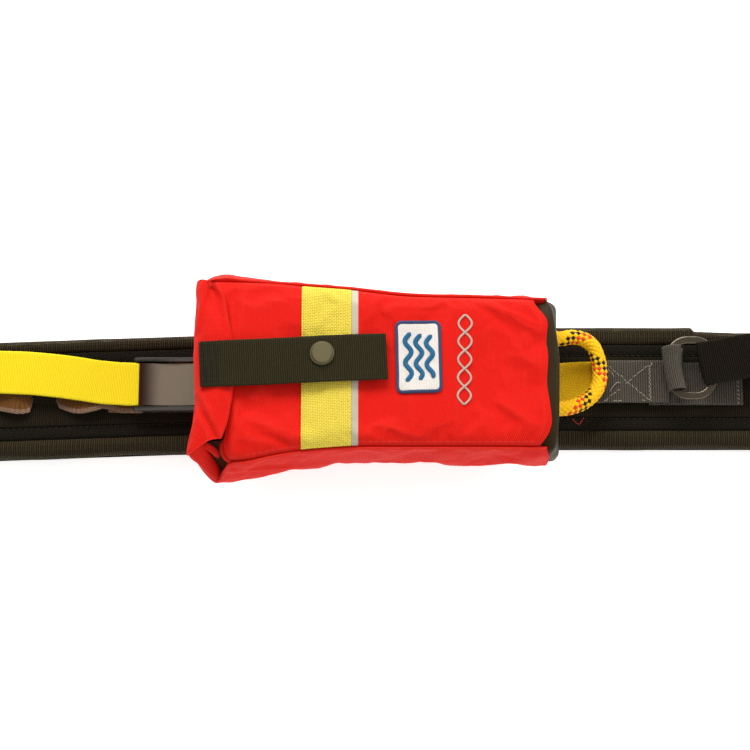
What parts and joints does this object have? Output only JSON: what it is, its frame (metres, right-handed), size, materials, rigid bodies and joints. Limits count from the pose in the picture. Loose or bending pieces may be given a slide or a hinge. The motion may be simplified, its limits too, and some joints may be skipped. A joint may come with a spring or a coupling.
{
  "type": "throw rope bag",
  "caption": "Red throw rope bag with a folded mouth, press-stud strap and rope handle loop, carried on a padded waist belt with a cam quick-release buckle and an oval tow ring.",
  "frame": {"origin": "middle of the padded belt's flat back face, under the bag", "axes": "+X along the belt towards the oval ring, +Y across the belt, +Z out of the bag's front"},
  "size_m": [0.6532, 0.112, 0.0801],
  "materials": {
    "red_fabric": "woven coated nylon, soft sheen",
    "base_fabric": "rubber-coated fabric, satin",
    "yellow_webbing": "woven polyester webbing",
    "gold_webbing": "woven polyester webbing",
    "black_webbing": "ribbed nylon webbing",
    "grey_webbing": "ribbed nylon webbing",
    "brown_webbing": "twill webbing",
    "belt_fabric": "ribbed knit and mesh over foam",
    "foam": "closed-cell foam",
    "reflective": "retroreflective tape",
    "patch_white": "embroidered twill",
    "patch_motif": "embroidery thread",
    "silver_thread": "metallic embroidery thread",
    "rope": "braided floating rope with red and black tracers",
    "gunmetal": "satin gunmetal",
    "black_steel": "polished black coating",
    "spring_steel": "bright wire",
    "ring_steel": "satin nickel",
    "black_plastic": "moulded acetal",
    "ball_plastic": "moulded polypropylene"
  },
  "bodies": {
    "belt": {"belt_back_cover": "belt_fabric", "belt_foam": "foam", "belt_front_mesh": "belt_fabric", "belt_center_webbing": "belt_fabric", "belt_upper_sleeve": "belt_fabric", "belt_lower_sleeve": "belt_fabric", "belt_end_bindings": "black_webbing", "release_webbing": "gold_webbing", "buckle_frame": "black_steel", "buckle_pin": "spring_steel", "cam_spring": "spring_steel", "anchor_band": "brown_webbing", "band_keeper": "black_webbing", "ring_strap": "grey_webbing"},
    "bag": {"bag_front_panel": "red_fabric", "bag_back_panel": "red_fabric", "bag_upper_gusset": "red_fabric", "bag_lower_gusset": "red_fabric", "mouth_wall": "red_fabric", "base_panel": "base_fabric", "base_grommets": "gunmetal", "base_foam": "foam", "stopper_knots": "rope", "rope_pile": "rope", "front_band": "yellow_webbing", "reflective_strip": "reflective", "label_patch": "patch_white", "label_motif": "patch_motif", "silver_embroidery": "silver_thread", "bag_belt_loops": "black_webbing", "snap_stud": "gunmetal", "snap_post": "gunmetal"},
    "mouth_flap": {"mouth_flap": "red_fabric", "strap_sewn_end": "black_webbing"},
    "closure_strap": {"closure_strap": "black_webbing", "snap_cap": "gunmetal", "snap_socket": "gunmetal"},
    "rope_loop": {"rope_loop": "rope"},
    "cam_lever": {"cam_lever": "black_steel"},
    "release_tail": {"release_tail": "yellow_webbing", "pull_ball": "ball_plastic"},
    "oval_ring": {"oval_ring": "ring_steel"},
    "waist_webbing_right": {"waist_webbing_right": "black_webbing", "side_release_socket": "black_plastic"},
    "waist_webbing_left": {"waist_webbing_left": "black_webbing", "side_release_plug": "black_plastic"}
  },
  "joints": [
    {"name": "bag_slide", "type": "slide", "parent": "belt", "child": "bag", "axis": [1, 0, 0], "range_m": [-0.004, 0.01]},
    {"name": "lever_pivot", "type": "hinge", "parent": "belt", "child": "cam_lever", "pos_m": [-0.098, 0.0007, 0.0205], "axis": [0, 1, 0], "range_deg": [0, 60]},
    {"name": "tail_lift", "type": "hinge", "parent": "belt", "child": "release_tail", "pos_m": [-0.098, 0.0007, 0.0205], "axis": [0, 1, 0], "range_deg": [0, 60]},
    {"name": "flap_fold", "type": "hinge", "parent": "bag", "child": "mouth_flap", "pos_m": [-0.0994, 0.0035, 0.0698], "axis": [0, -1, 0], "range_deg": [0, 110]},
    {"name": "strap_lift", "type": "hinge", "parent": "mouth_flap", "child": "closure_strap", "pos_m": [-0.08255, 0.00272, 0.07705], "axis": [-0.0488, 0.9988, 0], "range_deg": [-120, 0]},
    {"name": "rope_loop_lift", "type": "hinge", "parent": "bag", "child": "rope_loop", "pos_m": [0.1066, 0.0055, 0.0325], "axis": [0, -1, 0], "range_deg": [0, 70]},
    {"name": "ring_swivel", "type": "hinge", "parent": "belt", "child": "oval_ring", "pos_m": [0.16855, 0.0095, 0.0246], "axis": [0, -1, 0], "range_deg": [0, 70]},
    {"name": "waist_webbing_right_swing", "type": "hinge", "parent": "oval_ring", "child": "waist_webbing_right", "pos_m": [0.19285, 0.0095, 0.0246], "axis": [0, -1, 0], "range_deg": [0, 40]},
    {"name": "waist_webbing_left_swing", "type": "hinge", "parent": "belt", "child": "waist_webbing_left", "pos_m": [-0.2546, -0.0077, 0.0126], "axis": [0, 1, 0], "range_deg": [0, 60]}
  ],
  "couplings": [
    {"joint": "tail_lift", "follows": "lever_pivot", "ratio": 1}
  ]
}
